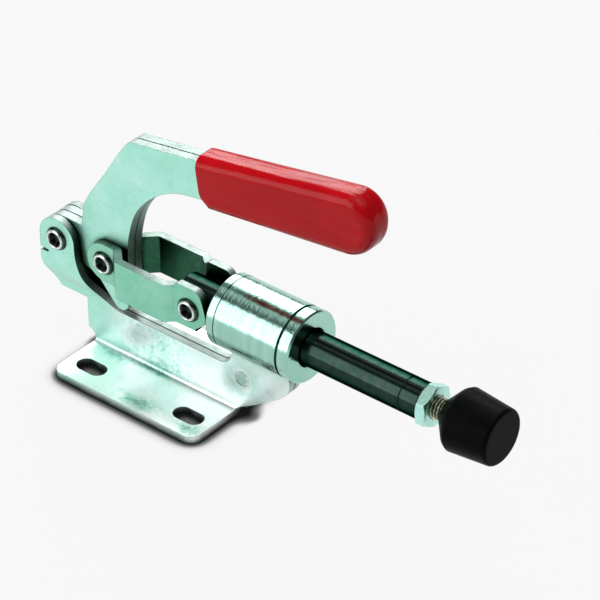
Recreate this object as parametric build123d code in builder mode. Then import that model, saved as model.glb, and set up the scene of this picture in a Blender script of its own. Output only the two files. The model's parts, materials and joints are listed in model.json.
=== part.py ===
from build123d import *
import os

os.makedirs("parts", exist_ok=True)

# Push-pull toggle clamp on a flanged sheet-metal base, shown locked.
# Frame: origin in the mounting face, at the centre of the four mounting slots.
# +X is the way the plunger pushes, +Z is up, and the two base halves mirror about XZ.

# ---- Named clearances ----
run_gap = 0.05         # radial, shaft in a bore that turns or slides
seat_gap = 0.01        # radial, a shaft that is pressed or peened in its hole
side_gap = 0.4         # along Y, between plates that swing past each other

# ---- Base: two mirrored stampings, back to back at Y = 0 ----
sheet_t = 3.5
axis_h = 50.8          # plunger axis above the mounting face
flange_len = 80.0
flange_half_w = 31.75
flange_corner_r = 5.0
slot_dx = 55.0
slot_dy = 40.0
slot_len = 15.0
slot_w = 8.6
foot_bend_r = 1.5      # inside radius of the foot bend
web_top_z = 24.4       # low edge in front of the trough
web_corner_x = 37.5    # where the web rises to the barrel
web_corner_r = 7.0
joggle_r = 12.0        # both bends of the S from the web out to the wall
relief_r = 4.0
web_rear_x = -flange_len / 2 - relief_r
relief_z = sheet_t + 1.0
web_foot_z = sheet_t + 0.5   # where the web's front edge meets the flange end
spot_x, spot_z = 43.3, 20.6
spot_r = 3.6
spot_depth = 0.15

# ---- Pivots, in the locked pose ----
rear_pin_x = -56.0
rear_pin_z = axis_h + 1.1
crank_pin_x = -29.0
crank_pin_z = axis_h   # 0.7 below the line of the other two pins: just past centre
plunger_pin_x = 21.5
pin_r = 4.0
head_r = 5.5
head_t = 1.9
head_edge = 0.35       # upright edge under the domed flank
flank_r = 2.6
lip_r = 4.3            # thin peened lip round the cup
cup_r = 3.5
cup_depth = 2.3
cup_floor_r = 1.9
cup_point = 0.7        # drill point below the cup's floor

# ---- Handle: two plates side by side ----
plate_t = 4.5
lobe_r = 9.8

# ---- Stack across the clamp, as distances from the centre plane ----
wall_in = plate_t + side_gap
wall_mid = wall_in + sheet_t / 2
wall_out = wall_in + sheet_t
ear_r = 9.9

# ---- Links ----
link_half_h = 9.3
plunger_r = 8.0
fork_in = plunger_r + 0.3
fork_mid = fork_in + sheet_t / 2
fork_out = fork_in + sheet_t
bulge_mid = fork_mid + 3.3

# ---- Guide barrel and plunger ----
barrel_r = 16.2
barrel_rear_x = 34.0
barrel_front_x = 78.0
scribe_x = barrel_rear_x + 4.3
groove_x = barrel_front_x - 6.7
groove_w = 1.2
plunger_rear_x = 11.5
plunger_front_x = 137.3
ring_x = plunger_front_x - 9.2
ring_w = 0.8
ring_depth = 0.35

# ---- Spindle, nut and tip ----
thread_r = 5.0
nut_af = 17.0
nut_t = 5.0
head_af = 16.0
bolt_head_t = 6.0
thread_show = 5.2      # bare thread between nut and tip
nut_front_x = plunger_front_x + nut_t
tip_rear_x = nut_front_x + thread_show
tip_rim_x = tip_rear_x + 7.6
tip_front_x = tip_rear_x + 27.1
tip_rim_r = 14.0
tip_front_r = 12.3
tip_neck_r = 6.3
bolt_head_x = tip_rear_x + 8.5
bolt_rear_x = plunger_front_x - 25.3


# ---- Near base half: foot, web, and a wall that is set outwards beside the handle ----
joggle_slope = 1.732    # rise over run of the slanting middle of the S
s_low = web_top_z + joggle_r * 0.25
s_high = s_low + (wall_mid - sheet_t / 2) * joggle_slope
fold_r = foot_bend_r + sheet_t / 2

with BuildPart() as base_half_near:
    # Folded section behind the low web edge: foot, web, S-bend and wall.
    with BuildSketch(Plane.YZ.offset(-70)):
        with BuildLine():
            FilletPolyline(
                (-flange_half_w, sheet_t / 2),
                (-sheet_t / 2, sheet_t / 2),
                (-sheet_t / 2, s_low),
                (-wall_mid, s_high),
                (-wall_mid, axis_h + 14),
                radius=[fold_r, joggle_r, joggle_r],
            )
        trace(line_width=sheet_t)
    extrude(amount=55)
    # Plain angle section in front of it.
    with BuildSketch(Plane.YZ.offset(-15)):
        with BuildLine():
            FilletPolyline(
                (-flange_half_w, sheet_t / 2),
                (-sheet_t / 2, sheet_t / 2),
                (-sheet_t / 2, axis_h - 8),
                radius=fold_r,
            )
        trace(line_width=sheet_t)
    extrude(amount=90)
    # Outline of the stamping as seen from the side.
    with BuildSketch(Plane.XZ):
        with BuildLine():
            Polyline((-flange_len / 2, -1), (-flange_len / 2, relief_z))
            RadiusArc((-flange_len / 2, relief_z), (web_rear_x, relief_z + relief_r), -relief_r)
            Polyline((web_rear_x, relief_z + relief_r), (web_rear_x, 24), (-59, 24))
            Spline((-59, 24), (-62.6, 28.9), (-65.0, 34.3), (rear_pin_x - ear_r, 40))
            Polyline(
                (rear_pin_x - ear_r, 40),
                (rear_pin_x - ear_r, 42.4),
                (-61.2, 42.9),
                (-61.2, 43.9),
                (rear_pin_x - ear_r, 44.4),
                (rear_pin_x - ear_r, rear_pin_z),
            )
            RadiusArc((rear_pin_x - ear_r, rear_pin_z), (rear_pin_x, rear_pin_z + ear_r), ear_r)
            RadiusArc((rear_pin_x, rear_pin_z + ear_r), (rear_pin_x + ear_r, rear_pin_z), ear_r)
            Spline(
                (rear_pin_x + ear_r, rear_pin_z),
                (-44.6, 41.5),
                (-40.0, 33.6),
                (-34.5, 28.0),
                (-29.0, 25.3),
                (-22.0, web_top_z),
                tangents=[(0, -1), (1, 0)],
            )
            Line((-22.0, web_top_z), (web_corner_x - web_corner_r, web_top_z))
            RadiusArc(
                (web_corner_x - web_corner_r, web_top_z),
                (web_corner_x, web_top_z + web_corner_r),
                -web_corner_r,
            )
            Polyline(
                (web_corner_x, web_top_z + web_corner_r),
                (web_corner_x, 42),
                (66.0, 42),
                (66.0, 34.2),
            )
            Spline(
                (66.0, 34.2),
                (68.4, 31.8),
                (69.2, 28.5),
                (68.0, 24.4),
                (64.0, 20.0),
                tangents=[(0.8, -0.6), (-0.66, -0.75)],
            )
            Polyline((64.0, 20.0), (50.3, 10.4), (flange_len / 2, web_foot_z))
            Line((flange_len / 2, web_foot_z), (flange_len / 2, -1))
            Line((flange_len / 2, -1), (-flange_len / 2, -1))
        make_face()
    extrude(amount=40, both=True, mode=Mode.INTERSECT)
    foot_corners = edges().filter_by(Axis.Z).group_by(Axis.Y)[0]
    fillet(foot_corners, flange_corner_r)
    with BuildSketch(Plane.XY):
        with Locations((-slot_dx / 2, -slot_dy / 2), (slot_dx / 2, -slot_dy / 2)):
            SlotOverall(slot_len, slot_w)
    extrude(amount=2 * sheet_t, mode=Mode.SUBTRACT)
    # Hole for the rear pivot rivet.
    with BuildSketch(Plane.XZ):
        with Locations((rear_pin_x, rear_pin_z)):
            Circle(pin_r + seat_gap)
    extrude(amount=20, mode=Mode.SUBTRACT)
    # Shallow electrode mark of the spot weld that joins the halves.
    with BuildSketch(Plane.XZ.offset(sheet_t - spot_depth)):
        with Locations((spot_x, spot_z)):
            Circle(spot_r)
    extrude(amount=2, mode=Mode.SUBTRACT)
    # The web's upper edge is cut to the barrel that lies on it.
    with BuildSketch(Plane.YZ.offset(barrel_rear_x - 10)):
        with Locations((0, axis_h)):
            Circle(barrel_r)
    extrude(amount=60, mode=Mode.SUBTRACT)

with BuildPart() as base_half_far:
    mirror(base_half_near.part, about=Plane.XZ)

# ---- Guide barrel: turned bush with a rear scribe line and a front groove ----
with BuildPart() as guide_barrel:
    with BuildSketch(Plane.XZ):
        with BuildLine():
            Polyline(
                (barrel_rear_x, axis_h + plunger_r + run_gap + 0.8),
                (barrel_rear_x, axis_h + barrel_r - 0.8),
                (barrel_rear_x + 0.8, axis_h + barrel_r),
                (scribe_x, axis_h + barrel_r),
                (scribe_x, axis_h + barrel_r - 0.3),
                (scribe_x + 0.5, axis_h + barrel_r - 0.3),
                (scribe_x + 0.5, axis_h + barrel_r),
                (groove_x, axis_h + barrel_r),
                (groove_x, axis_h + barrel_r - 0.9),
                (groove_x + groove_w, axis_h + barrel_r - 0.9),
                (groove_x + groove_w, axis_h + barrel_r),
                (barrel_front_x - 0.7, axis_h + barrel_r),
                (barrel_front_x, axis_h + barrel_r - 0.7),
                (barrel_front_x, axis_h + plunger_r + run_gap + 0.8),
                (barrel_front_x - 0.8, axis_h + plunger_r + run_gap),
                (barrel_rear_x + 0.8, axis_h + plunger_r + run_gap),
                close=True,
            )
        make_face()
    revolve(axis=Axis((0, 0, axis_h), (1, 0, 0)))

# ---- Weld beads between the web and the underside of the barrel ----
weld_z = axis_h - (barrel_r**2 - sheet_t**2) ** 0.5
with BuildPart() as barrel_weld_near:
    with BuildSketch(Plane.YZ.offset(40)):
        with BuildLine():
            Polyline(
                (-sheet_t, weld_z + 1.0),
                (-sheet_t, weld_z - 2.4),
                (-sheet_t - 1.6, weld_z - 1.1),
                (-sheet_t - 3.2, weld_z + 2.4),
                close=True,
            )
        make_face()
    extrude(amount=25)
    with BuildSketch(Plane.YZ.offset(30)):
        with Locations((0, axis_h)):
            Circle(barrel_r)
    extrude(amount=50, mode=Mode.SUBTRACT)

with BuildPart() as barrel_weld_far:
    mirror(barrel_weld_near.part, about=Plane.XZ)


# ---- Handle: a hooked plate, twice ----
grip_rear_x = 22.5
grip_front_x = 112.8
grip_half_w = 7.5
grip_top_z = 123.1      # at the rear end
grip_top_rise = 15.7    # up to the front end
grip_low_z = 99.6
grip_low_rise = 10.0
grip_tip_r = 12.0
grip_low_r = 15.5
grip_edge_r = 5.0
tang_front_x = grip_front_x - 8.8
with BuildPart() as handle_plate_near:
    with BuildSketch(Plane.XZ):
        with BuildLine():
            RadiusArc(
                (rear_pin_x - lobe_r, rear_pin_z), (rear_pin_x, rear_pin_z + lobe_r), lobe_r
            )
            Polyline((rear_pin_x, rear_pin_z + lobe_r), (-44.4, rear_pin_z + lobe_r), (-42.7, 73.0))
            # Back of the arm up to the shoulder.
            Spline((-42.7, 73.0), (-38.9, 80.1), (-29.6, 93.9), (-20.3, 108.6), (-17.3, 112.6))
            RadiusArc((-17.3, 112.6), (-13.2, 115.1), 5.5)
            # Top edge, on into the grip.
            Polyline(
                (-13.2, 115.1),
                (grip_rear_x - 2.5, grip_top_z - 3.2),
                (tang_front_x - 4.0, grip_top_z + 8.1),
                (tang_front_x, grip_top_z + 4.9),
            )
            Polyline(
                (tang_front_x, grip_top_z + 4.9),
                (tang_front_x, grip_low_z + 17.4),
                (tang_front_x - 4.0, grip_low_z + 13.4),
                (23.0, 102.3),
            )
            # Hooked inner edge down to the nose.
            Spline(
                (23.0, 102.3),
                (12.0, 100.4),
                (1.0, 95.3),
                (-4.7, 90.8),
                (-10.7, 84.1),
                (-14.8, 76.6),
                (-17.2, 68.0),
                (-18.4, 58.0),
                tangents=[(-1, -0.14), (-0.06, -1)],
            )
            Polyline((-18.4, 58.0), (-19.0, 31.0))
            RadiusArc((-19.0, 31.0), (-26.4, 28.2), 4.6)
            Polyline((-26.4, 28.2), (-33.6, 36.5))
            Spline(
                (-33.6, 36.5),
                (-38.5, 40.2),
                (-46.0, 42.0),
                (rear_pin_x, rear_pin_z - lobe_r),
                tangents=[(-0.66, 0.76), (-1, 0)],
            )
            RadiusArc(
                (rear_pin_x, rear_pin_z - lobe_r), (rear_pin_x - lobe_r, rear_pin_z), lobe_r
            )
        make_face()
    extrude(amount=plate_t)
    with BuildSketch(Plane.XZ):
        with Locations((rear_pin_x, rear_pin_z), (crank_pin_x, crank_pin_z)):
            Circle(pin_r + run_gap)
    extrude(amount=plate_t, mode=Mode.SUBTRACT)

with BuildPart() as handle_plate_far:
    mirror(handle_plate_near.part, about=Plane.XZ)

# ---- Dipped vinyl grip over the two plates ----
with BuildPart() as handle_grip:
    with BuildSketch(Plane.XZ):
        with BuildLine():
            Polyline(
                (grip_rear_x, grip_top_z),
                (grip_front_x, grip_top_z + grip_top_rise),
                (grip_front_x, grip_low_z + grip_low_rise),
                (grip_rear_x + 6.0, grip_low_z),
                (grip_rear_x + 3.2, grip_low_z + 2.0),
                close=True,
            )
        make_face()
        tip_corners = vertices().group_by(Axis.X)[-1].sort_by(Axis.Y)
        fillet(tip_corners[-1], grip_tip_r)
        low_corner = vertices().group_by(Axis.X)[-1].sort_by(Axis.Y)[0]
        fillet(low_corner, grip_low_r)
    extrude(amount=grip_half_w, both=True)
    side_edges = faces().filter_by(Axis.Y).edges()
    long_edges = side_edges.filter_by_position(Axis.X, grip_rear_x + 3, grip_front_x + 1)
    fillet(long_edges, grip_edge_r)
    add(handle_plate_near.part, mode=Mode.SUBTRACT)
    add(handle_plate_far.part, mode=Mode.SUBTRACT)

# ---- Links: joggled strips, round-ended, bowed out past the base ears ----
with BuildPart() as link_near:
    with BuildSketch(Plane.XY.offset(axis_h - 20)):
        with BuildLine():
            FilletPolyline(
                (crank_pin_x - 20, -wall_mid),
                (-22.3, -wall_mid),
                (-15.6, -bulge_mid),
                (10.1, -bulge_mid),
                (13.8, -fork_mid),
                (plunger_pin_x + 20, -fork_mid),
                radius=[3.0, 3.0, 3.0, 3.0],
            )
        trace(line_width=sheet_t)
    extrude(amount=40)
    with BuildSketch(Plane.XZ):
        with BuildLine():
            ThreePointArc(
                (crank_pin_x, crank_pin_z - link_half_h),
                (crank_pin_x - link_half_h, crank_pin_z),
                (crank_pin_x, crank_pin_z + link_half_h),
            )
            Polyline(
                (crank_pin_x, crank_pin_z + link_half_h),
                (13.5, axis_h + link_half_h),
                (15.5, axis_h + 10.9),
                (24.5, axis_h + 10.9),
            )
            Spline(
                (24.5, axis_h + 10.9),
                (27.4, axis_h + 9.4),
                (29.7, axis_h + 3.6),
                (29.5, axis_h - 4.6),
                (25.0, axis_h - 8.9),
                (20.0, axis_h - link_half_h),
                tangents=[(1, -0.1), (-1, -0.05)],
            )
            Line((20.0, axis_h - link_half_h), (crank_pin_x, crank_pin_z - link_half_h))
        make_face()
    extrude(amount=30, mode=Mode.INTERSECT)
    with BuildSketch(Plane.XZ):
        with Locations((crank_pin_x, crank_pin_z), (plunger_pin_x, axis_h)):
            Circle(pin_r + seat_gap)
    extrude(amount=30, mode=Mode.SUBTRACT)

with BuildPart() as link_far:
    mirror(link_near.part, about=Plane.XZ)

# ---- Rivets: plain shank, domed heads peened to a thin lip round a deep cup ----
def half_rivet(root, seat, axis_z):
    """Half section from the shank's inner end at root to a head that seats at seat."""
    top = -seat - head_t
    lip_round = (lip_r - cup_r) / 2
    Polyline(
        (-root, axis_z),
        (-root, axis_z + pin_r),
        (-seat, axis_z + pin_r),
        (-seat, axis_z + head_r),
        (-seat - head_edge, axis_z + head_r),
    )
    RadiusArc((-seat - head_edge, axis_z + head_r), (top + lip_round, axis_z + lip_r), -flank_r)
    ThreePointArc(
        (top + lip_round, axis_z + lip_r),
        (top, axis_z + lip_r - lip_round),
        (top + lip_round, axis_z + cup_r),
    )
    Polyline(
        (top + lip_round, axis_z + cup_r),
        (top + cup_depth, axis_z + cup_floor_r),
        (top + cup_depth + cup_point, axis_z),
        (-root, axis_z),
    )


with BuildPart() as rear_pivot_rivet:
    with BuildSketch(Plane.YZ.offset(rear_pin_x)):
        with BuildLine():
            half_rivet(0, wall_out, rear_pin_z)
        make_face()
    revolve(axis=Axis((rear_pin_x, 0, rear_pin_z), (0, 1, 0)))
    mirror(about=Plane.XZ)

with BuildPart() as crank_rivet:
    with BuildSketch(Plane.YZ.offset(crank_pin_x)):
        with BuildLine():
            half_rivet(0, wall_out, crank_pin_z)
        make_face()
    revolve(axis=Axis((crank_pin_x, 0, crank_pin_z), (0, 1, 0)))
    mirror(about=Plane.XZ)

# The front rivet shows as a head and a stub in each link, with the pin itself in the plunger.
with BuildPart() as plunger_rivet_near:
    with BuildSketch(Plane.YZ.offset(plunger_pin_x)):
        with BuildLine():
            half_rivet(fork_in, fork_out, axis_h)
        make_face()
    revolve(axis=Axis((plunger_pin_x, 0, axis_h), (0, 1, 0)))

with BuildPart() as plunger_rivet_far:
    mirror(plunger_rivet_near.part, about=Plane.XZ)

with BuildPart() as plunger_cross_pin:
    with BuildSketch(Plane.XZ):
        with Locations((plunger_pin_x, axis_h)):
            Circle(pin_r)
    extrude(amount=plunger_r - 0.1, both=True)

# ---- Plunger: ground bar with a ring mark near its end, bored for the spindle ----
bore_rear_x = bolt_rear_x - 6
with BuildPart() as plunger_rod:
    with BuildSketch(Plane.XZ):
        with BuildLine():
            Polyline(
                (plunger_rear_x, axis_h),
                (plunger_rear_x, axis_h + plunger_r - 0.8),
                (plunger_rear_x + 0.8, axis_h + plunger_r),
                (ring_x, axis_h + plunger_r),
                (ring_x, axis_h + plunger_r - ring_depth),
                (ring_x + ring_w, axis_h + plunger_r - ring_depth),
                (ring_x + ring_w, axis_h + plunger_r),
                (plunger_front_x - 0.6, axis_h + plunger_r),
                (plunger_front_x, axis_h + plunger_r - 0.6),
                (plunger_front_x, axis_h + thread_r + run_gap),
                (bore_rear_x, axis_h + thread_r + run_gap),
                (bore_rear_x - 2.5, axis_h),
                close=True,
            )
        make_face()
    revolve(axis=Axis((0, 0, axis_h), (1, 0, 0)))
    with BuildSketch(Plane.XZ):
        with Locations((plunger_pin_x, axis_h)):
            Circle(pin_r + seat_gap)
    extrude(amount=20, both=True, mode=Mode.SUBTRACT)

# ---- Jam nut, turned down at both rims ----
nut_corner_r = nut_af / 3**0.5
with BuildPart() as jam_nut:
    with BuildSketch(Plane.YZ.offset(plunger_front_x)):
        with Locations((0, axis_h)):
            RegularPolygon(nut_af / 2, 6, major_radius=False, rotation=30)
    extrude(amount=nut_t)
    with BuildSketch(Plane.XZ):
        with BuildLine():
            Polyline(
                (plunger_front_x, axis_h + thread_r + run_gap),
                (plunger_front_x, axis_h + nut_af / 2 - 0.1),
                (plunger_front_x + 0.8, axis_h + nut_corner_r + 0.1),
                (nut_front_x - 0.8, axis_h + nut_corner_r + 0.1),
                (nut_front_x, axis_h + nut_af / 2 - 0.1),
                (nut_front_x, axis_h + thread_r + run_gap),
                close=True,
            )
        make_face()
    revolve(axis=Axis((0, 0, axis_h), (1, 0, 0)), mode=Mode.INTERSECT)

# ---- Spindle: hex-head bolt, its head inside the rubber tip ----
with BuildPart() as spindle_bolt:
    with BuildSketch(Plane.YZ.offset(bolt_rear_x)):
        with Locations((0, axis_h)):
            Circle(thread_r)
    extrude(amount=bolt_head_x - bolt_rear_x)
    thread_end = edges().filter_by(GeomType.CIRCLE).sort_by(Axis.X)[0]
    chamfer(thread_end, 0.9)
    with BuildSketch(Plane.YZ.offset(bolt_head_x)):
        with Locations((0, axis_h)):
            RegularPolygon(head_af / 2, 6, major_radius=False, rotation=30)
    extrude(amount=bolt_head_t)

with BuildPart() as rubber_tip:
    with BuildSketch(Plane.XZ):
        with BuildLine():
            Polyline(
                (tip_rear_x, axis_h),
                (tip_rear_x, axis_h + tip_neck_r),
                (tip_rim_x - 1.6, axis_h + tip_rim_r - 0.9),
                (tip_rim_x, axis_h + tip_rim_r),
                (tip_front_x, axis_h + tip_front_r),
                (tip_front_x, axis_h),
                close=True,
            )
        make_face()
    revolve(axis=Axis((0, 0, axis_h), (1, 0, 0)))
    rims = edges().filter_by(GeomType.CIRCLE).sort_by(Axis.X)
    fillet(rims[-1], 1.6)
    with BuildSketch(Plane.YZ.offset(tip_rear_x - 1)):
        with Locations((0, axis_h)):
            Circle(thread_r + seat_gap)
    extrude(amount=bolt_head_x - tip_rear_x + 1, mode=Mode.SUBTRACT)
    with BuildSketch(Plane.YZ.offset(bolt_head_x)):
        with Locations((0, axis_h)):
            RegularPolygon(head_af / 2 + seat_gap, 6, major_radius=False, rotation=30)
    extrude(amount=bolt_head_t, mode=Mode.SUBTRACT)

# ---- Write each piece ----
base_half_near.part.label = "base_half_near"
export_step(base_half_near.part, "parts/base_half_near.step")
base_half_far.part.label = "base_half_far"
export_step(base_half_far.part, "parts/base_half_far.step")
guide_barrel.part.label = "guide_barrel"
export_step(guide_barrel.part, "parts/guide_barrel.step")
barrel_weld_near.part.label = "barrel_weld_near"
export_step(barrel_weld_near.part, "parts/barrel_weld_near.step")
barrel_weld_far.part.label = "barrel_weld_far"
export_step(barrel_weld_far.part, "parts/barrel_weld_far.step")
rear_pivot_rivet.part.label = "rear_pivot_rivet"
export_step(rear_pivot_rivet.part, "parts/rear_pivot_rivet.step")
handle_plate_near.part.label = "handle_plate_near"
export_step(handle_plate_near.part, "parts/handle_plate_near.step")
handle_plate_far.part.label = "handle_plate_far"
export_step(handle_plate_far.part, "parts/handle_plate_far.step")
handle_grip.part.label = "handle_grip"
export_step(handle_grip.part, "parts/handle_grip.step")
link_near.part.label = "link_near"
export_step(link_near.part, "parts/link_near.step")
link_far.part.label = "link_far"
export_step(link_far.part, "parts/link_far.step")
crank_rivet.part.label = "crank_rivet"
export_step(crank_rivet.part, "parts/crank_rivet.step")
plunger_rivet_near.part.label = "plunger_rivet_near"
export_step(plunger_rivet_near.part, "parts/plunger_rivet_near.step")
plunger_rivet_far.part.label = "plunger_rivet_far"
export_step(plunger_rivet_far.part, "parts/plunger_rivet_far.step")
plunger_cross_pin.part.label = "plunger_cross_pin"
export_step(plunger_cross_pin.part, "parts/plunger_cross_pin.step")
plunger_rod.part.label = "plunger_rod"
export_step(plunger_rod.part, "parts/plunger_rod.step")
jam_nut.part.label = "jam_nut"
export_step(jam_nut.part, "parts/jam_nut.step")
spindle_bolt.part.label = "spindle_bolt"
export_step(spindle_bolt.part, "parts/spindle_bolt.step")
rubber_tip.part.label = "rubber_tip"
export_step(rubber_tip.part, "parts/rubber_tip.step")
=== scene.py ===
import json
import math

import bpy
from mathutils import Matrix, Vector


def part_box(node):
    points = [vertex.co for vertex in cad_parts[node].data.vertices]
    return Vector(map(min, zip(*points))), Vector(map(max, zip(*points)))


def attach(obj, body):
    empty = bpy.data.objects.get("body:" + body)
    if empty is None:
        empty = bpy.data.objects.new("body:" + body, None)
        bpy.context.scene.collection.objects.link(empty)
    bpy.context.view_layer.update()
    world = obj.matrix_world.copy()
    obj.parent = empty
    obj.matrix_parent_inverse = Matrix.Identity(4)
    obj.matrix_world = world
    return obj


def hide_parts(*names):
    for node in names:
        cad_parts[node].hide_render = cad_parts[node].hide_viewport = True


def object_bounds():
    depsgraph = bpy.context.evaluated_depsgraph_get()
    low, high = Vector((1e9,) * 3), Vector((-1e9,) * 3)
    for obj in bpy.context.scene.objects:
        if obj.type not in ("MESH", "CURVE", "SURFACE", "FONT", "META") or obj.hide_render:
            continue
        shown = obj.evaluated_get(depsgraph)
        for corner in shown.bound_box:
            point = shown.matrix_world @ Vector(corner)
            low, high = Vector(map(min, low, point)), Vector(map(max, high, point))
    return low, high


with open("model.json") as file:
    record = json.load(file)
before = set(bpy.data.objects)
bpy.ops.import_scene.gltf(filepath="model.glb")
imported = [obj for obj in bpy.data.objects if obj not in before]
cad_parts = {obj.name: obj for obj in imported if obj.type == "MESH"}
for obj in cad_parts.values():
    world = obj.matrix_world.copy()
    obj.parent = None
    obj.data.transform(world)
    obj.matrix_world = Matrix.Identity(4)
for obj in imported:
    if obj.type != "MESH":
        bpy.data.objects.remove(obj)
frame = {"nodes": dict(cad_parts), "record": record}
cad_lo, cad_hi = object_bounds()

# A push-pull toggle clamp on a flanged base. Lengths are metres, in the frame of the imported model:
# +X is the way the plunger pushes, +Z is up, and the mounting face is at z = 0.
MM = 0.001

# ---------------------------------------------------------------- sizes shared with the CAD model
AXIS_H = 50.8 * MM                      # plunger's axis above the mounting face
REAR_PIN = (-56.0 * MM, 51.9 * MM)      # x and z of the rivets' axes, which lie along Y
CRANK_PIN = (-29.0 * MM, 50.8 * MM)
FRONT_PIN = (21.5 * MM, 50.8 * MM)
HEAD_R = 5.5 * MM                       # a rivet's head
CUP_R = 3.5 * MM                        # the cup in the head
LIP_R = 4.3 * MM                        # outside of the peened lip round the cup
SPOT_WELD = (43.3 * MM, 20.6 * MM)      # x and z of its mark on the web
THREAD_CREST = 5.0 * MM                 # radius of the M10 spindle
BOLT_HEAD_T = 6.0 * MM

# ---------------------------------------------------------------- the thread, which only this scene has
THREAD_ROOT = 4.10 * MM                 # radius
THREAD_PITCH = 1.5 * MM

# ---------------------------------------------------------------- where the colours and the painted shade change
# Each pair is where a change starts and where it ends, set against the photo.
EDGE_STREAKS_ABOVE = (8.0 * MM, 12.0 * MM)
SEAM_ABOVE = (18.0 * MM, 20.0 * MM)
TROUGH_ABOVE = (26.0 * MM, 34.0 * MM)
TEAL_ABOVE = (28.0 * MM, 40.0 * MM)
TEAL_BEHIND = (-20.0 * MM, -36.0 * MM)
SEAM_HALF_W = (0.18 * MM, 0.50 * MM)
# Stains on the foot as (x, y, reach along X, reach along Y), in millimetres.
# The first four are as the photo shows them. The two on the far side are guessed.
FOOT_STAINS = (
    (4.0, -26.0, 13.0, 6.0),
    (-27.0, -7.0, 9.0, 4.0),
    (-4.0, -5.0, 22.0, 2.6),
    (33.0, -27.0, 8.0, 5.0),
    (-12.0, 20.0, 12.0, 7.0),
    (26.0, 12.0, 9.0, 5.0),
)

# ---------------------------------------------------------------- colours, as linear values
WHITE = (1.0, 1.0, 1.0)
DEEP_GREEN = (0.015, 0.05, 0.03)
EDGE_DARK = (0.12, 0.20, 0.16)
NUT_EDGE_DARK = (0.07, 0.13, 0.10)
LINK_SHADE = (0.60, 0.76, 0.66)          # painted shade: the links get a darker copy of the plates' colour
FLOOR_SEEN = 0.90                       # share of glow in the floor that camera and mirrors see
FLOOR_LIT = 0.40                        # what the floor sends back as light


def rgba(c):
    return (c[0], c[1], c[2], 1.0)


def grey(value):
    return (value, value, value)


# ---------------------------------------------------------------- nodes
def feed(tree, socket, term):
    """Links term to socket, or sets it there where term is a plain value."""
    if isinstance(term, bpy.types.NodeSocket):
        tree.links.new(term, socket)
    else:
        socket.default_value = term


def maths(tree, operation, *terms):
    node = tree.nodes.new("ShaderNodeMath")
    node.operation = operation
    for socket, term in zip(node.inputs, terms):
        feed(tree, socket, term)
    return node.outputs[0]


def mixed(tree, factor, a, b, blend_type="MIX"):
    node = tree.nodes.new("ShaderNodeMix")
    node.data_type = "RGBA"
    node.blend_type = blend_type
    feed(tree, node.inputs["Factor"], factor)
    feed(tree, node.inputs["A"], a)
    feed(tree, node.inputs["B"], b)
    return node.outputs["Result"]


def color_ramp(tree, fac, stops):
    node = tree.nodes.new("ShaderNodeValToRGB")
    elements = node.color_ramp.elements
    elements[0].position, elements[0].color = stops[0][0], rgba(stops[0][1])
    elements[1].position, elements[1].color = stops[-1][0], rgba(stops[-1][1])
    for position, color in stops[1:-1]:
        elements.new(position).color = rgba(color)
    tree.links.new(fac, node.inputs["Fac"])
    return node.outputs["Color"]


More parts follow.
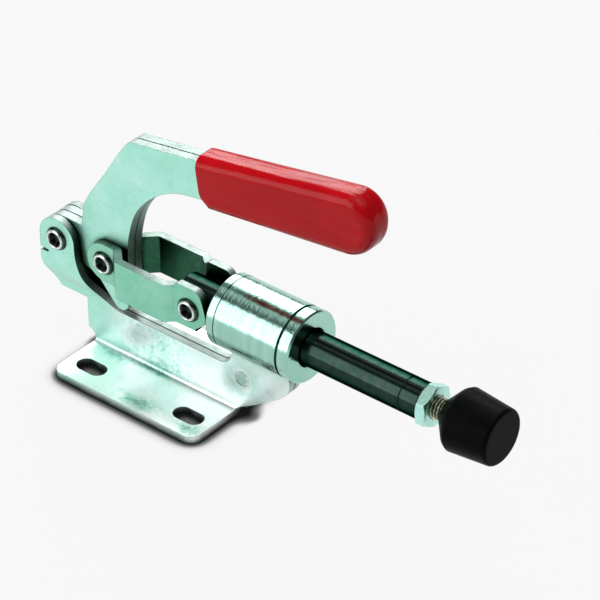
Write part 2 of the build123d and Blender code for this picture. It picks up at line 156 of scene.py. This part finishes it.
class Shader:
    """A principled material with the few node patterns that the finishes share."""

    def __init__(self, name, color, metallic, roughness):
        self.mat = bpy.data.materials.new(name)
        self.mat.use_nodes = True
        self.tree = self.mat.node_tree
        self.nodes = self.tree.nodes
        self.links = self.tree.links
        self.bsdf = self.nodes["Principled BSDF"]
        self.bsdf.inputs["Base Color"].default_value = rgba(color)
        self.bsdf.inputs["Metallic"].default_value = metallic
        self.bsdf.inputs["Roughness"].default_value = roughness
        self.coords = self.nodes.new("ShaderNodeTexCoord").outputs["Object"]

    def to(self, socket, output):
        self.links.new(output, self.bsdf.inputs[socket])

    # ---- patterns
    def stretched(self, sx, sy, sz):
        node = self.nodes.new("ShaderNodeMapping")
        node.inputs["Scale"].default_value = (sx, sy, sz)
        self.links.new(self.coords, node.inputs["Vector"])
        return node.outputs["Vector"]

    def noise(self, scale, detail, rough, vector=None):
        node = self.nodes.new("ShaderNodeTexNoise")
        node.inputs["Scale"].default_value = scale
        node.inputs["Detail"].default_value = detail
        node.inputs["Roughness"].default_value = rough
        self.links.new(vector or self.coords, node.inputs["Vector"])
        return node.outputs["Fac"]

    def grain(self, detail, rough, scale_xyz):
        """Noise drawn out along the axes with the smaller scales."""
        return self.noise(1.0, detail, rough, self.stretched(*scale_xyz))

    def spread(self, fac, lo, hi, from_lo=0.3, from_hi=0.7):
        """fac from from_lo to from_hi, as lo to hi. The defaults are where noise mostly lies."""
        node = self.nodes.new("ShaderNodeMapRange")
        node.inputs["From Min"].default_value = from_lo
        node.inputs["From Max"].default_value = from_hi
        node.inputs["To Min"].default_value = lo
        node.inputs["To Max"].default_value = hi
        self.links.new(fac, node.inputs["Value"])
        return node.outputs["Result"]

    # ---- colours
    def ramp(self, fac, stops):
        return color_ramp(self.tree, fac, stops)

    def multiply(self, a, b):
        return mixed(self.tree, 1.0, a, b, "MULTIPLY")

    def blend(self, mask, low, high):
        return mixed(self.tree, mask, low, high)

    def only_where(self, mask, color):
        """color where mask is 1, white where it is 0."""
        return mixed(self.tree, mask, rgba(WHITE), color)

    # ---- normals
    def bevel(self, radius):
        node = self.nodes.new("ShaderNodeBevel")
        node.samples = 6
        node.inputs["Radius"].default_value = radius
        return node.outputs["Normal"]

    def bump(self, height, strength, distance, normal=None):
        node = self.nodes.new("ShaderNodeBump")
        node.inputs["Strength"].default_value = strength
        node.inputs["Distance"].default_value = distance
        self.links.new(height, node.inputs["Height"])
        if normal is not None:
            self.links.new(normal, node.inputs["Normal"])
        return node.outputs["Normal"]

    def true_normal(self):
        return self.nodes.new("ShaderNodeNewGeometry").outputs["Normal"]

    # ---- masks. Places are in the piece's own rest pose.
    def axis_of(self, vector, axis):
        node = self.nodes.new("ShaderNodeSeparateXYZ")
        self.links.new(vector, node.inputs[0])
        return node.outputs[axis]

    def absolute(self, value):
        return maths(self.tree, "ABSOLUTE", value)

    def both(self, a, b):
        return maths(self.tree, "MULTIPLY", a, b)

    def rougher(self, roughness, mask, extra):
        """roughness, plus extra where mask is 1."""
        return maths(self.tree, "MULTIPLY_ADD", mask, extra, roughness)

    def above(self, start, end):
        """0 below start, 1 above end, along Z."""
        return self.spread(self.axis_of(self.coords, "Z"), 0.0, 1.0, start, end)

    def behind(self, start, end):
        """0 ahead of start, 1 behind end, along X."""
        return self.spread(self.axis_of(self.coords, "X"), 0.0, 1.0, start, end)

    def faces_sideways(self):
        """How far the surface faces along Y, either way."""
        return self.absolute(self.axis_of(self.true_normal(), "Y"))

    def edge_face(self):
        """1 on the cut edges of an upright plate, 0 on its two sides and on the foot."""
        edge = self.spread(self.faces_sideways(), 1.0, 0.0, 0.30, 0.55)
        return self.both(edge, self.above(*EDGE_STREAKS_ABOVE))

    def web_side(self):
        """1 on the upright sides of the base, 0 on its foot."""
        return self.spread(self.faces_sideways(), 0.0, 1.0, 0.6, 0.9)

    def distance(self, scale, offset):
        """Length of the coordinates times scale, plus offset."""
        flat = self.nodes.new("ShaderNodeVectorMath")
        flat.operation = "MULTIPLY_ADD"
        flat.inputs[1].default_value = scale
        flat.inputs[2].default_value = offset
        self.links.new(self.coords, flat.inputs[0])
        length = self.nodes.new("ShaderNodeVectorMath")
        length.operation = "LENGTH"
        self.links.new(flat.outputs["Vector"], length.inputs[0])
        return length.outputs["Value"]

    def distance_from_pin(self, pin):
        """Distance from an axis along Y through (x, z), as a share of a rivet head's radius."""
        k = 1.0 / HEAD_R
        return self.distance((k, 0.0, k), (-pin[0] * k, 0.0, -pin[1] * k))

    def distance_from_plunger_axis(self, unit):
        """Distance from the plunger's axis, in units of unit."""
        k = 1.0 / unit
        return self.distance((0.0, k, k), (0.0, 0.0, -AXIS_H * k))

    # ---- painted shade. It follows the shape, not the lamps, so it stays under other light.
    def occlusion(self, samples, reach):
        node = self.nodes.new("ShaderNodeAmbientOcclusion")
        node.samples = samples
        node.inputs["Distance"].default_value = reach
        return node.outputs["AO"]

    def crevices(self, reach, dark):
        """Painted by ambient occlusion: dark where surfaces stand close, white in the open."""
        half = [0.3 + 0.4 * c for c in dark]
        return self.ramp(self.occlusion(8, reach), [(0.20, dark), (0.46, half), (0.70, WHITE)])

    def trough_shade(self):
        """Painted by ambient occlusion: the dark inside between the walls and the links."""
        stops = [
            (0.30, (0.012, 0.045, 0.022)),
            (0.52, (0.10, 0.20, 0.14)),
            (0.66, (0.60, 0.72, 0.66)),
            (0.78, WHITE),
        ]
        return self.ramp(self.occlusion(8, 45.0 * MM), stops)

    def edge_line(self, radius, dark):
        """Painted along sharp edges, found where the rounded normal leaves the true one."""
        dot = self.nodes.new("ShaderNodeVectorMath")
        dot.operation = "DOT_PRODUCT"
        self.links.new(self.bevel(radius), dot.inputs[0])
        self.links.new(self.true_normal(), dot.inputs[1])
        return self.ramp(dot.outputs["Value"], [(0.78, dark), (0.97, WHITE)])

    def seam_line(self):
        """Painted hairline where two plates meet back to back, on the XZ plane."""
        off = self.absolute(self.axis_of(self.coords, "Y"))
        near = self.spread(off, 0.0, 1.0, *SEAM_HALF_W)
        return self.ramp(near, [(0.0, (0.03, 0.06, 0.05)), (1.0, WHITE)])

    # ---- marks on the base
    def stains(self, places):
        """Grainy green-grey stains, laid out like FOOT_STAINS."""
        nearest = None
        for x, y, reach_x, reach_y in places:
            scale = (1 / (reach_x * MM), 1 / (reach_y * MM), 0.0)
            away = self.distance(scale, (-x / reach_x, -y / reach_y, 0.0))
            nearest = away if nearest is None else maths(self.tree, "MINIMUM", nearest, away)
        ragged = self.spread(self.noise(160, 12, 0.85), -0.9, 0.9)
        stops = [
            (0.10, (0.30, 0.50, 0.43)),
            (0.42, (0.52, 0.78, 0.70)),
            (0.74, (0.82, 0.96, 0.93)),
            (1.0, WHITE),
        ]
        return self.ramp(maths(self.tree, "ADD", nearest, ragged), stops)

    def weld_mark(self):
        """Faint rings round the spot weld on the web."""
        ragged = self.spread(self.noise(420, 6, 0.7), -0.6, 0.6, 0.2, 0.8)
        away = maths(self.tree, "ADD", self.distance_from_pin(SPOT_WELD), ragged)
        rings = [
            (0.00, (0.66, 0.84, 0.79)), (0.16, (0.42, 0.64, 0.56)), (0.26, (0.86, 0.95, 0.92)),
            (0.42, (0.60, 0.84, 0.78)), (0.70, (0.80, 0.96, 0.93)), (1.00, (0.86, 0.99, 0.96)),
        ]
        return self.ramp(self.spread(away, 0.0, 1.0, 0.0, 2.8), rings)


# ---------------------------------------------------------------- materials
def pale_low_teal_high(s, teal):
    """The base's colour, placed by position: nearly white and cloudy low down, teal above and behind."""
    clouds = [(0.30, (0.68, 0.82, 0.78)), (0.44, (0.91, 0.93, 0.925)), (0.66, (0.95, 0.96, 0.95))]
    pale = s.ramp(s.noise(34, 10, 0.74), clouds)
    pale = s.multiply(pale, s.stains(FOOT_STAINS))
    pale = s.multiply(pale, s.only_where(s.web_side(), s.weld_mark()))
    rear_of_web = s.both(s.web_side(), s.behind(*TEAL_BEHIND))
    return s.blend(s.above(*TEAL_ABOVE), s.blend(rear_of_web, pale, teal), teal)


def zinc_sheet(base=False, cast=WHITE):
    """Zinc-plated pressed sheet with a green-blue cast, its cut edges streaked lengthwise."""
    s = Shader("zinc_sheet_looks", (0.48, 0.86, 0.73), 1.0, 0.36)
    teal = [(0.28, (0.36, 0.76, 0.61)), (0.50, (0.44, 0.84, 0.71)), (0.72, (0.54, 0.90, 0.79))]
    # cast darkens the teal. For the links this is painted shade.
    teal = [(at, tuple(a * b for a, b in zip(color, cast))) for at, color in teal]
    tint = s.ramp(s.noise(60, 6, 0.66), teal)
    if base:
        tint = pale_low_teal_high(s, tint)
    specks = [(0.27, (0.40, 0.50, 0.45)), (0.37, WHITE), (1.0, WHITE)]
    tint = s.multiply(tint, s.ramp(s.noise(1500, 2, 0.7), specks))
    cut = [(0.34, (0.22, 0.30, 0.27)), (0.44, (0.44, 0.54, 0.51)), (0.56, (0.54, 0.64, 0.61))]
    streaks = s.ramp(s.grain(3, 0.6, (240, 5200, 240)), cut)
    tint = s.blend(s.edge_face(), tint, streaks)
    tint = s.multiply(tint, s.crevices(9.0 * MM, DEEP_GREEN))
    tint = s.multiply(tint, s.only_where(s.above(*TROUGH_ABOVE), s.trough_shade()))
    tint = s.multiply(tint, s.only_where(s.above(*SEAM_ABOVE), s.seam_line()))
    s.to("Base Color", s.multiply(tint, s.edge_line(0.45 * MM, EDGE_DARK)))
    s.to("Roughness", s.rougher(s.spread(s.noise(170, 5, 0.6), 0.30, 0.46), s.edge_face(), 0.22))
    s.to("Normal", s.bump(s.noise(900, 3, 0.6), 0.12, 0.06 * MM, s.bevel(0.4 * MM)))
    return s.mat


def turned_zinc():
    """Turned and plated: uneven rings round the X axis fray the edges of what it mirrors."""
    s = Shader("turned_zinc_looks", (0.34, 0.60, 0.51), 1.0, 0.16)
    rings = s.grain(2, 0.5, (900, 430, 430))
    bands = s.ramp(s.grain(3, 0.5, (300, 25, 25)), [(0.3, (0.29, 0.56, 0.46)), (0.7, (0.39, 0.64, 0.56))])
    tint = s.multiply(bands, s.crevices(6.0 * MM, DEEP_GREEN))
    s.to("Base Color", s.multiply(tint, s.edge_line(0.30 * MM, EDGE_DARK)))
    s.to("Roughness", s.spread(rings, 0.12, 0.20))
    s.to("Normal", s.bump(rings, 0.80, 0.12 * MM, s.bevel(0.3 * MM)))
    return s.mat


def rivet_steel(pin):
    """Dark plated rivet. Its cup is painted near black as shade, with a faint painted glint at its
    centre, and its peened lip is painted near white as a highlight. pin is (x, z) of its axis.
    """
    s = Shader("rivet_steel_looks", (0.30, 0.36, 0.33), 1.0, 0.22)
    lip_in, lip_out = CUP_R / HEAD_R, LIP_R / HEAD_R
    # Painted: shade in the cup, a faint glint at its centre, a highlight on the lip.
    shaded_cup_and_lit_lip = [
        (0.00, (0.035, 0.045, 0.04)),
        (lip_in - 0.30, (0.008, 0.012, 0.010)),
        (lip_in - 0.04, (0.014, 0.022, 0.018)),
        (lip_in + 0.02, (0.92, 0.97, 0.95)),
        (lip_out, (0.90, 0.96, 0.94)),
        (lip_out + 0.06, (0.05, 0.09, 0.07)),
        (1.00, (0.04, 0.07, 0.05)),
    ]
    tint = s.ramp(s.distance_from_pin(pin), shaded_cup_and_lit_lip)
    grain = s.ramp(s.noise(1400, 3, 0.6), [(0.3, (0.72, 0.76, 0.74)), (0.6, WHITE)])
    s.to("Base Color", s.multiply(tint, grain))
    s.to("Roughness", s.spread(s.noise(900, 3, 0.6), 0.16, 0.32))
    s.to("Normal", s.bump(s.noise(1500, 2, 0.6), 0.12, 0.04 * MM))
    return s.mat


def black_oxide():
    """Ground bar, chemically blackened, with fine rings round the X axis."""
    s = Shader("black_oxide_looks", (0.030, 0.052, 0.045), 1.0, 0.13)
    s.bsdf.inputs["Specular Tint"].default_value = (0.22, 0.30, 0.28, 1.0)
    rings = s.grain(3, 0.6, (2400, 60, 60))
    tones = [(0.3, (0.016, 0.034, 0.028)), (0.7, (0.030, 0.052, 0.044))]
    s.to("Base Color", s.ramp(s.noise(240, 4, 0.6), tones))
    s.to("Roughness", s.spread(rings, 0.13, 0.22))
    s.to("Normal", s.bump(rings, 0.05, 0.02 * MM, s.bevel(0.3 * MM)))
    return s.mat


def thread_steel():
    """Rolled thread: the roots painted dark as shade, the crests light."""
    s = Shader("thread_steel_looks", (0.66, 0.66, 0.54), 1.0, 0.34)
    # Painted shade: darkest at the root's radius, light at the crest's.
    shaded_root_to_crest = [
        (0.82, (0.035, 0.045, 0.03)),
        (0.90, (0.20, 0.22, 0.15)),
        (0.96, (0.62, 0.63, 0.50)),
        (1.0, (0.84, 0.84, 0.72)),
    ]
    tint = s.ramp(s.distance_from_plunger_axis(THREAD_CREST), shaded_root_to_crest)
    tone = s.ramp(s.noise(300, 3, 0.6), [(0.3, (0.82, 0.84, 0.78)), (0.7, WHITE)])
    s.to("Base Color", s.multiply(tint, tone))
    s.to("Roughness", s.spread(s.noise(500, 2, 0.6), 0.28, 0.42))
    s.to("Normal", s.bump(s.noise(900, 2, 0.6), 0.05, 0.02 * MM))
    return s.mat


def nut_zinc():
    """Machined nut, plated teal, with faint tool marks drawn out along Z."""
    s = Shader("nut_zinc_looks", (0.60, 0.88, 0.80), 1.0, 0.30)
    marks = s.grain(3, 0.6, (700, 700, 160))
    tint = s.ramp(s.noise(500, 4, 0.6), [(0.3, (0.40, 0.80, 0.68)), (0.7, (0.60, 0.92, 0.83))])
    tint = s.multiply(tint, s.crevices(4.0 * MM, DEEP_GREEN))
    s.to("Base Color", s.multiply(tint, s.edge_line(0.40 * MM, NUT_EDGE_DARK)))
    s.to("Roughness", s.spread(marks, 0.24, 0.40))
    s.to("Normal", s.bump(marks, 0.10, 0.04 * MM, s.bevel(0.4 * MM)))
    return s.mat


def red_vinyl():
    """Dipped plastisol: glossy, with the lengthwise waves of a coat that ran as it cured."""
    s = Shader("red_vinyl_looks", (0.52, 0.004, 0.010), 0.0, 0.15)
    s.bsdf.inputs["Specular IOR Level"].default_value = 0.16
    pigment = [(0.3, (0.50, 0.002, 0.006)), (0.7, (0.62, 0.004, 0.010))]
    s.to("Base Color", s.ramp(s.noise(45, 3, 0.5), pigment))
    s.to("Roughness", s.spread(s.noise(350, 3, 0.5), 0.11, 0.18))
    waves = s.bump(s.grain(2, 0.4, (9, 420, 150)), 0.70, 0.6 * MM, s.bevel(0.6 * MM))
    s.to("Normal", s.bump(s.noise(1600, 2, 0.5), 0.03, 0.03 * MM, waves))
    return s.mat


def black_rubber():
    """Moulded rubber, black and nearly without gloss, finely pitted."""
    s = Shader("black_rubber_looks", (0.0022, 0.0026, 0.0024), 0.0, 0.42)
    s.bsdf.inputs["Specular IOR Level"].default_value = 0.03
    tones = [(0.3, (0.0014, 0.0018, 0.0016)), (0.7, (0.0036, 0.0044, 0.0040))]
    s.to("Base Color", s.ramp(s.noise(180, 4, 0.6), tones))
    s.to("Roughness", s.spread(s.noise(420, 4, 0.65), 0.30, 0.46))
    s.to("Normal", s.bump(s.noise(800, 4, 0.7), 0.20, 0.08 * MM, s.bevel(0.8 * MM)))
    return s.mat


LOOKS = {
    "zinc_sheet": zinc_sheet(),
    "turned_zinc": turned_zinc(),
    "rivet_steel": rivet_steel(REAR_PIN),
    "black_oxide": black_oxide(),
    "thread_steel": thread_steel(),
    "red_vinyl": red_vinyl(),
    "black_rubber": black_rubber(),
}
# Nodes whose material differs from the rest of their slot. The links' is darker, as painted shade.
NODE_LOOKS = {
    "crank_rivet": rivet_steel(CRANK_PIN),
    "plunger_rivet_near": rivet_steel(FRONT_PIN),
    "plunger_rivet_far": rivet_steel(FRONT_PIN),
    "jam_nut": nut_zinc(),
    "link_near": zinc_sheet(cast=LINK_SHADE),
    "link_far": zinc_sheet(cast=LINK_SHADE),
    "base_half_near": zinc_sheet(base=True),
    "base_half_far": zinc_sheet(base=True),
}

for part in frame["record"]["subparts"]:
    node = frame["nodes"][part["node"]]
    node.data.materials.clear()
    node.data.materials.append(NODE_LOOKS.get(part["node"], LOOKS[part["material_slot"]]))


# ---------------------------------------------------------------- the spindle's thread
def piece(name, verts, faces, body, slot, stands_for):
    """A new piece that rides body and replaces the CAD nodes in stands_for."""
    mesh = bpy.data.meshes.new(name)
    mesh.from_pydata(verts, [], faces)
    mesh.validate()
    mesh.shade_smooth()
    mesh.set_sharp_from_angle(angle=math.radians(35.0))
    obj = bpy.data.objects.new(name, mesh)
    bpy.context.collection.objects.link(obj)
    mesh.materials.append(LOOKS[slot])
    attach(obj, body)
    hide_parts(*stands_for)


def round_plunger_axis(x, radius, angle):
    return (x, radius * math.cos(angle), AXIS_H + radius * math.sin(angle))


def rings_to_faces(rows, cols, first=0):
    """Quads between closed rings of vertices, the first ring starting at vertex first."""
    quads = []
    for i in range(rows - 1):
        for j in range(cols):
            k = (j + 1) % cols
            a = first + i * cols
            quads.append((a + j, a + k, a + cols + k, a + cols + j))
    return quads


def screw_thread(x0, x1, cols=56, rows_per_pitch=12):
    """Thread of about 60 degrees, shallower over its first turn, closed at both ends."""
    crest_flat, flank, first_depth = 0.12, 0.66, 0.4    # shares of half a pitch, and of the depth
    rows = int(round((x1 - x0) / THREAD_PITCH * rows_per_pitch)) + 1
    verts = []
    for i in range(rows):
        x = x0 + (x1 - x0) * i / (rows - 1)
        run_in = first_depth + (1.0 - first_depth) * min(1.0, (x - x0) / THREAD_PITCH)
        for j in range(cols):
            phase = (x / THREAD_PITCH - j / cols) % 1.0
            off_crest = abs(2 * phase - 1)
            depth = min(1.0, max(0.0, (off_crest - crest_flat) / flank))
            radius = THREAD_CREST - (THREAD_CREST - THREAD_ROOT) * depth * run_in
            verts.append(round_plunger_axis(x, radius, 2 * math.pi * j / cols))
    faces = rings_to_faces(rows, cols)
    faces.append(tuple(range(cols)))
    faces.append(tuple(range(rows * cols - 1, (rows - 1) * cols - 1, -1)))
    return verts, faces


def hex_head(x0, x1, across_flats, first):
    """Closed hexagonal prism whose vertices start at number first."""
    sides = 6
    step = 2 * math.pi / sides
    corner_r = across_flats / 2 / math.cos(step / 2)
    verts = [
        round_plunger_axis(x, corner_r, step / 2 + step * (j + 1)) for x in (x0, x1) for j in range(sides)
    ]
    faces = rings_to_faces(2, sides, first)
    faces.append(tuple(range(first, first + sides)))
    faces.append(tuple(range(first + 2 * sides - 1, first + sides - 1, -1)))
    return verts, faces


def spindle_thread():
    bolt_lo, bolt_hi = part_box("spindle_bolt")
    head_x = bolt_hi[0] - BOLT_HEAD_T
    thread_verts, thread_faces = screw_thread(bolt_lo[0], head_x)
    head_verts, head_faces = hex_head(head_x, bolt_hi[0], bolt_hi[1] - bolt_lo[1], len(thread_verts))
    verts, faces = thread_verts + head_verts, thread_faces + head_faces
    piece("spindle_thread", verts, faces, "spindle", "thread_steel", ["spindle_bolt"])


spindle_thread()


# ---------------------------------------------------------------- floor, lights, camera
def seen_or_mirrored(tree, share):
    """share for camera, glossy and transmission rays, 0 for light that bounces off."""
    path = tree.nodes.new("ShaderNodeLightPath")
    seen = path.outputs["Is Camera Ray"]
    for ray in ("Is Glossy Ray", "Is Transmission Ray"):
        seen = maths(tree, "MAXIMUM", seen, path.outputs[ray])
    return maths(tree, "MULTIPLY", seen, share)


def floor():
    """Pale floor that mostly glows, so cast shadows are faint. Its contact shadow is painted by ambient
    occlusion, in its glow and in its colour."""
    half, z = 4.0, cad_lo[2] - 0.2 * MM
    corners = [(-half, -half, z), (half, -half, z), (half, half, z), (-half, half, z)]
    mesh = bpy.data.meshes.new("floor")
    mesh.from_pydata(corners, [], [(0, 1, 2, 3)])
    obj = bpy.data.objects.new("floor", mesh)
    bpy.context.collection.objects.link(obj)
    s = Shader("floor_looks", grey(FLOOR_LIT), 0.0, 0.9)
    s.bsdf.inputs["Specular IOR Level"].default_value = 0.0
    glow = s.nodes.new("ShaderNodeEmission")
    # Painted contact shadow, by ambient occlusion within 9 mm.
    contact_shadow = s.occlusion(24, 9.0 * MM)
    seen = [(0.55, grey(0.01)), (0.78, grey(0.20)), (0.90, grey(0.86)), (0.97, WHITE)]
    s.links.new(s.ramp(contact_shadow, seen), glow.inputs["Color"])
    s.to("Base Color", s.ramp(contact_shadow, [(0.55, grey(0.01)), (0.78, grey(0.10)), (0.92, grey(FLOOR_LIT))]))
    mix = s.nodes.new("ShaderNodeMixShader")
    s.links.new(seen_or_mirrored(s.tree, FLOOR_SEEN), mix.inputs["Fac"])
    s.links.new(s.bsdf.outputs["BSDF"], mix.inputs[1])
    s.links.new(glow.outputs["Emission"], mix.inputs[2])
    s.links.new(mix.outputs["Shader"], s.nodes["Material Output"].inputs["Surface"])
    mesh.materials.append(s.mat)


def softbox(name, direction, distance, width, height, watts):
    """Rectangular lamp that stands off in a direction and faces the middle of the clamp."""
    middle = Vector((60.0 * MM, 0.0, 60.0 * MM))
    data = bpy.data.lights.new(name, "AREA")
    data.shape = "RECTANGLE"
    data.size, data.size_y = width, height
    data.energy = watts
    obj = bpy.data.objects.new(name, data)
    bpy.context.collection.objects.link(obj)
    away = Vector(direction).normalized()
    obj.location = middle + away * distance
    obj.rotation_mode = "QUATERNION"
    obj.rotation_quaternion = (-away).to_track_quat("-Z", "Y")


def studio():
    """Soft neutral light from all round. Camera and mirrors see pale low, dim walls, pale ceiling."""
    world = bpy.data.worlds.new("studio")
    bpy.context.scene.world = world
    world.use_nodes = True
    tree = world.node_tree
    direction = tree.nodes.new("ShaderNodeTexCoord").outputs["Generated"]
    split = tree.nodes.new("ShaderNodeSeparateXYZ")
    tree.links.new(direction, split.inputs[0])
    up = split.outputs["Z"]
    pale, dim, ceiling = grey(0.92), grey(0.11), grey(0.80)
    light = color_ramp(tree, up, [(0.0, grey(0.30)), (0.30, grey(0.22)), (1.0, grey(0.55))])
    mirrored = color_ramp(
        tree, up, [(0.0, pale), (0.08, pale), (0.15, dim), (0.800, dim), (0.822, ceiling), (1.0, ceiling)]
    )
    sky = mixed(tree, seen_or_mirrored(tree, 1.0), light, mirrored)
    background = tree.nodes["Background"]
    tree.links.new(sky, background.inputs["Color"])
    background.inputs["Strength"].default_value = 1.0


def photo_camera():
    """The camera that was fitted to the photo."""
    right = Vector((0.77384, 0.63338, 0.0))
    up = Vector((-0.36212, 0.44242, 0.82045))
    back = Vector((0.51966, -0.63490, 0.57172))
    place = (0.7367, -0.8124, 0.8032)
    data = bpy.data.cameras.new("photo_camera")
    data.sensor_width = 36.0
    data.lens = 189.48
    obj = bpy.data.objects.new("photo_camera", data)
    bpy.context.collection.objects.link(obj)
    turn = Matrix((right, up, back)).transposed()
    obj.matrix_world = Matrix.Translation(place) @ turn.to_4x4()
    bpy.context.scene.camera = obj


floor()
softbox("box_back", (-0.52, 0.635, 0.571), 1.6, 0.84, 1.02, 14)
softbox("box_front", (-0.52, -0.780, 0.347), 1.6, 1.00, 1.42, 11.5)
softbox("box_top", (0.10, 0.0, 1.0), 1.5, 0.85, 0.85, 4)
studio()
photo_camera()
bpy.context.scene.view_settings.view_transform = "Standard"
